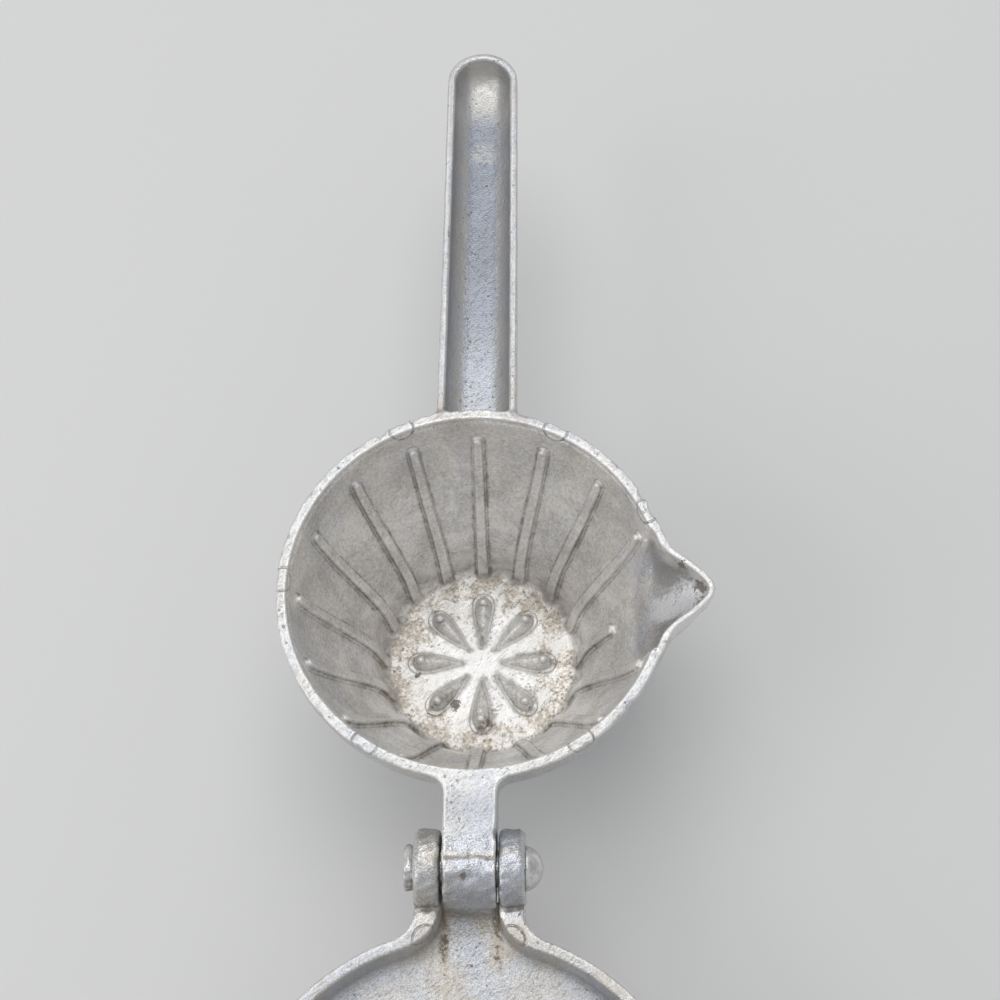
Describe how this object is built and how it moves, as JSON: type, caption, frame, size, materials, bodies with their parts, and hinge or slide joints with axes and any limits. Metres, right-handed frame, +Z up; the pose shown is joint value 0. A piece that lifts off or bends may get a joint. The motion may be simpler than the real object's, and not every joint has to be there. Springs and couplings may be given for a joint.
{
  "type": "hinged lemon squeezer",
  "caption": "Hand squeezer in cast aluminium: ribbed bowl with pouring spout, hinged presser with dome, and channel handles.",
  "frame": {"origin": "centre of the bowl's flat base, on the table", "axes": "+Z up out of the bowl's mouth, +Y from the hinge towards the bowl's handle, +X towards the pouring spout"},
  "size_m": [0.0906, 0.37, 0.0701],
  "materials": {
    "bowl_aluminium": "aged die casting, dull grey with bright worn edges",
    "presser_aluminium": "aged die casting, dull grey with bright worn edges",
    "rivet_aluminium": "smooth domed head, rough hammered end"
  },
  "bodies": {
    "bowl": {"bowl_casting": "bowl_aluminium"},
    "presser": {"presser_casting": "presser_aluminium", "hinge_rivet": "rivet_aluminium"}
  },
  "joints": [
    {"name": "hinge", "type": "hinge", "parent": "bowl", "child": "presser", "pos_m": [0, -0.054, 0.0417], "axis": [-1, 0, 0], "range_deg": [-45, 180]}
  ]
}
